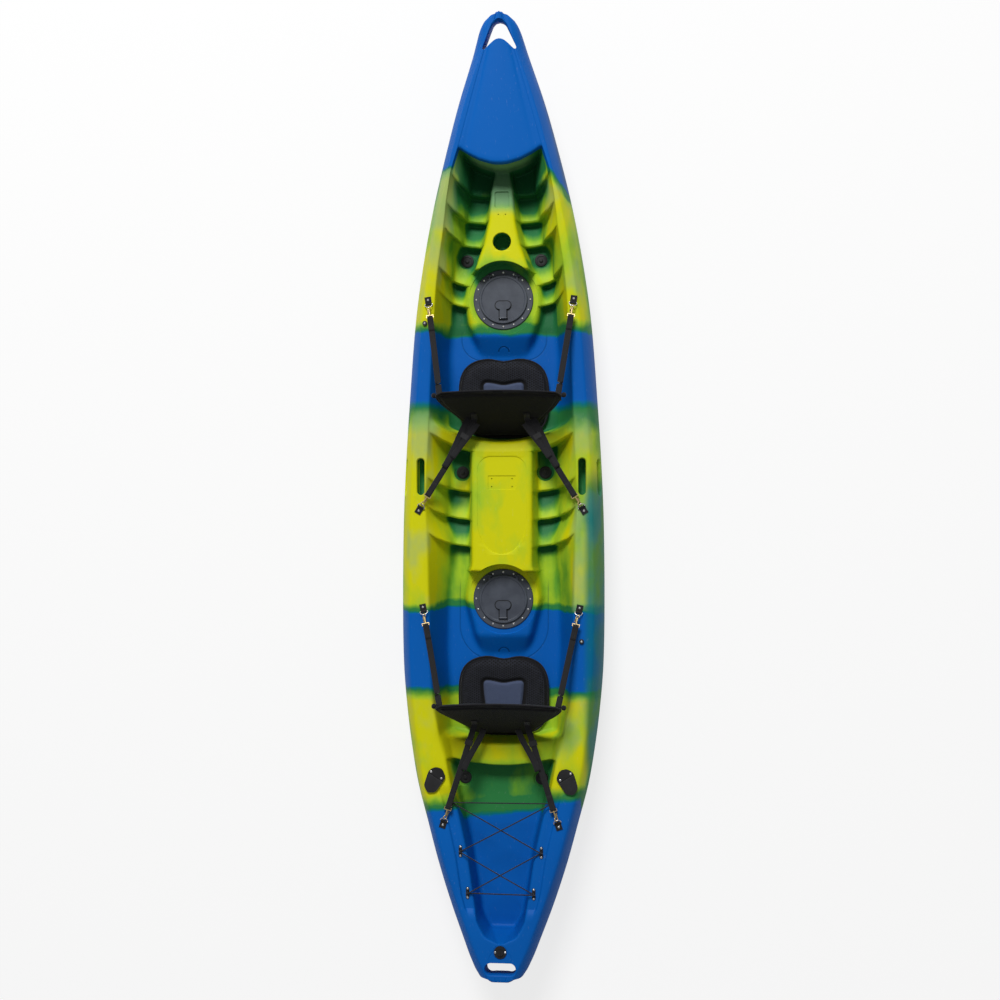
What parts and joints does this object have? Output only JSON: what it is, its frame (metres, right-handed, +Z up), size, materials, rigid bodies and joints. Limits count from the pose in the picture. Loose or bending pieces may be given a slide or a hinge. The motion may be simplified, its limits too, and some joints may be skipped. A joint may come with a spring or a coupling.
{
  "type": "tandem kayak",
  "caption": "Sit-on-top tandem kayak with moulded footwells, strapped folding seats, hinged hatches, flush rod holders, scupper plugs and a laced tank well.",
  "frame": {"origin": "on the flat of the bottom, midway between bow and stern and between the sides", "axes": "+Y to the bow, +X to starboard, +Z up"},
  "size_m": [0.862, 4, 0.461],
  "materials": {
    "hull": "satin moulded polyethylene in marbled blue, yellow and green",
    "hatch_plastic": "satin",
    "black_rubber": "matte",
    "black_plastic": "satin",
    "steel": "bright",
    "brass": "pale gold plating",
    "seat_fabric": "woven nylon over foam",
    "webbing": "woven nylon webbing",
    "bungee_cord": "braided sleeve"
  },
  "bodies": {
    "hull": {"hull_shell": "hull", "front_hatch_ring": "hatch_plastic", "front_hatch_seal": "black_rubber", "front_hinge_pins": "steel", "front_hatch_screws": "steel", "rear_hatch_ring": "hatch_plastic", "rear_hatch_seal": "black_rubber", "rear_hinge_pins": "steel", "rear_hatch_screws": "steel", "rod_holder_left": "black_plastic", "rod_holder_right": "black_plastic", "drain_base": "black_plastic", "front_seat_pad": "seat_fabric", "rear_seat_pad": "seat_fabric", "strap_front_fore_left": "webbing", "strap_front_fore_right": "webbing", "strap_front_aft_left": "webbing", "strap_front_aft_right": "webbing", "strap_rear_fore_left": "webbing", "strap_rear_fore_right": "webbing", "strap_rear_aft_left": "webbing", "strap_rear_aft_right": "webbing", "anchor_tabs": "webbing", "d_rings": "steel", "snap_hooks": "brass", "deck_screws": "steel", "deck_eyes": "black_plastic", "bungee": "bungee_cord", "paddle_keepers": "black_plastic"},
    "front_lid": {"front_hatch_lid": "hatch_plastic", "front_latch_pin": "steel"},
    "rear_lid": {"rear_hatch_lid": "hatch_plastic", "rear_latch_pin": "steel"},
    "front_latch_arm": {"front_latch": "hatch_plastic"},
    "rear_latch_arm": {"rear_latch": "hatch_plastic"},
    "front_back": {"front_backrest": "seat_fabric", "front_strap_buckles": "black_plastic"},
    "rear_back": {"rear_backrest": "seat_fabric", "rear_strap_buckles": "black_plastic"},
    "left_rod_cap": {"rod_cap_left": "black_rubber"},
    "right_rod_cap": {"rod_cap_right": "black_rubber"},
    "drain_stopper": {"drain_plug": "black_plastic", "drain_o_ring": "black_rubber"},
    "plug_front_left_body": {"plug_front_left": "black_rubber"},
    "plug_front_right_body": {"plug_front_right": "black_rubber"},
    "plug_rear_left_body": {"plug_rear_left": "black_rubber"},
    "plug_rear_right_body": {"plug_rear_right": "black_rubber"},
    "plug_well_left_body": {"plug_well_left": "black_rubber"},
    "plug_well_right_body": {"plug_well_right": "black_rubber"},
    "bolt_front_fore_left_body": {"bolt_front_fore_left": "brass"},
    "bolt_front_fore_right_body": {"bolt_front_fore_right": "brass"},
    "bolt_front_aft_left_body": {"bolt_front_aft_left": "brass"},
    "bolt_front_aft_right_body": {"bolt_front_aft_right": "brass"},
    "bolt_rear_fore_left_body": {"bolt_rear_fore_left": "brass"},
    "bolt_rear_fore_right_body": {"bolt_rear_fore_right": "brass"},
    "bolt_rear_aft_left_body": {"bolt_rear_aft_left": "brass"},
    "bolt_rear_aft_right_body": {"bolt_rear_aft_right": "brass"}
  },
  "joints": [
    {"name": "front_lid_hinge", "type": "hinge", "parent": "hull", "child": "front_lid", "pos_m": [0, 0.955, 0.1739], "axis": [-1, 0, 0], "range_deg": [0, 96]},
    {"name": "front_latch_turn", "type": "hinge", "parent": "front_lid", "child": "front_latch_arm", "pos_m": [0, 0.775, 0.1789], "axis": [1, 0, 0], "range_deg": [0, 75]},
    {"name": "rear_lid_hinge", "type": "hinge", "parent": "hull", "child": "rear_lid", "pos_m": [0, -0.322, 0.1739], "axis": [-1, 0, 0], "range_deg": [0, 96]},
    {"name": "rear_latch_turn", "type": "hinge", "parent": "rear_lid", "child": "rear_latch_arm", "pos_m": [0, -0.502, 0.1789], "axis": [1, 0, 0], "range_deg": [0, 75]},
    {"name": "front_backrest_tilt", "type": "hinge", "parent": "hull", "child": "front_back", "pos_m": [0, 0.29, 0.1504], "axis": [-1, 0, 0], "range_deg": [-20, 25], "deforming": ["strap_front_fore_left", "strap_front_fore_right", "strap_front_aft_left", "strap_front_aft_right"]},
    {"name": "rear_backrest_tilt", "type": "hinge", "parent": "hull", "child": "rear_back", "pos_m": [0, -0.984, 0.1504], "axis": [-1, 0, 0], "range_deg": [-20, 25], "deforming": ["strap_rear_fore_left", "strap_rear_fore_right", "strap_rear_aft_left", "strap_rear_aft_right"]},
    {"name": "left_rod_cap_hinge", "type": "hinge", "parent": "hull", "child": "left_rod_cap", "pos_m": [-0.276, -1.15877, 0.30843], "axis": [-0.848, 0.5296, -0.0172], "range_deg": [0, 110]},
    {"name": "right_rod_cap_hinge", "type": "hinge", "parent": "hull", "child": "right_rod_cap", "pos_m": [0.276, -1.15877, 0.30843], "axis": [-0.848, -0.5296, 0.0172], "range_deg": [0, 110]},
    {"name": "drain_plug_turn", "type": "hinge", "parent": "hull", "child": "drain_stopper", "pos_m": [0, -1.875, 0.33004], "axis": [0, 0.05, 0.9987], "continuous": true},
    {"name": "plug_front_left_lift", "type": "slide", "parent": "hull", "child": "plug_front_left_body", "axis": [0, 0, 1], "range_m": [0, 0.045]},
    {"name": "plug_front_right_lift", "type": "slide", "parent": "hull", "child": "plug_front_right_body", "axis": [0, 0, 1], "range_m": [0, 0.045]},
    {"name": "plug_rear_left_lift", "type": "slide", "parent": "hull", "child": "plug_rear_left_body", "axis": [0, 0, 1], "range_m": [0, 0.045]},
    {"name": "plug_rear_right_lift", "type": "slide", "parent": "hull", "child": "plug_rear_right_body", "axis": [0, 0, 1], "range_m": [0, 0.045]},
    {"name": "plug_well_left_lift", "type": "slide", "parent": "hull", "child": "plug_well_left_body", "axis": [0, 0, 1], "range_m": [0, 0.045]},
    {"name": "plug_well_right_lift", "type": "slide", "parent": "hull", "child": "plug_well_right_body", "axis": [0, 0, 1], "range_m": [0, 0.045]},
    {"name": "bolt_front_fore_left_slide", "type": "slide", "parent": "hull", "child": "bolt_front_fore_left_body", "axis": [0.1441, -0.959, 0.2439], "range_m": [0, 0.006], "stiffness_N_per_m": 150, "springref_m": -0.002},
    {"name": "bolt_front_fore_right_slide", "type": "slide", "parent": "hull", "child": "bolt_front_fore_right_body", "axis": [-0.1441, -0.959, 0.2439], "range_m": [0, 0.006], "stiffness_N_per_m": 150, "springref_m": -0.002},
    {"name": "bolt_front_aft_left_slide", "type": "slide", "parent": "hull", "child": "bolt_front_aft_left_body", "axis": [0.5266, 0.8498, -0.0213], "range_m": [0, 0.006], "stiffness_N_per_m": 150, "springref_m": -0.002},
    {"name": "bolt_front_aft_right_slide", "type": "slide", "parent": "hull", "child": "bolt_front_aft_right_body", "axis": [-0.5266, 0.8498, -0.0213], "range_m": [0, 0.006], "stiffness_N_per_m": 150, "springref_m": -0.002},
    {"name": "bolt_rear_fore_left_slide", "type": "slide", "parent": "hull", "child": "bolt_rear_fore_left_body", "axis": [0.2011, -0.937, 0.2857], "range_m": [0, 0.006], "stiffness_N_per_m": 150, "springref_m": -0.002},
    {"name": "bolt_rear_fore_right_slide", "type": "slide", "parent": "hull", "child": "bolt_rear_fore_right_body", "axis": [-0.2011, -0.937, 0.2857], "range_m": [0, 0.006], "stiffness_N_per_m": 150, "springref_m": -0.002},
    {"name": "bolt_rear_aft_left_slide", "type": "slide", "parent": "hull", "child": "bolt_rear_aft_left_body", "axis": [0.3006, 0.9516, -0.0637], "range_m": [0, 0.006], "stiffness_N_per_m": 150, "springref_m": -0.002},
    {"name": "bolt_rear_aft_right_slide", "type": "slide", "parent": "hull", "child": "bolt_rear_aft_right_body", "axis": [-0.3006, 0.9516, -0.0637], "range_m": [0, 0.006], "stiffness_N_per_m": 150, "springref_m": -0.002}
  ]
}
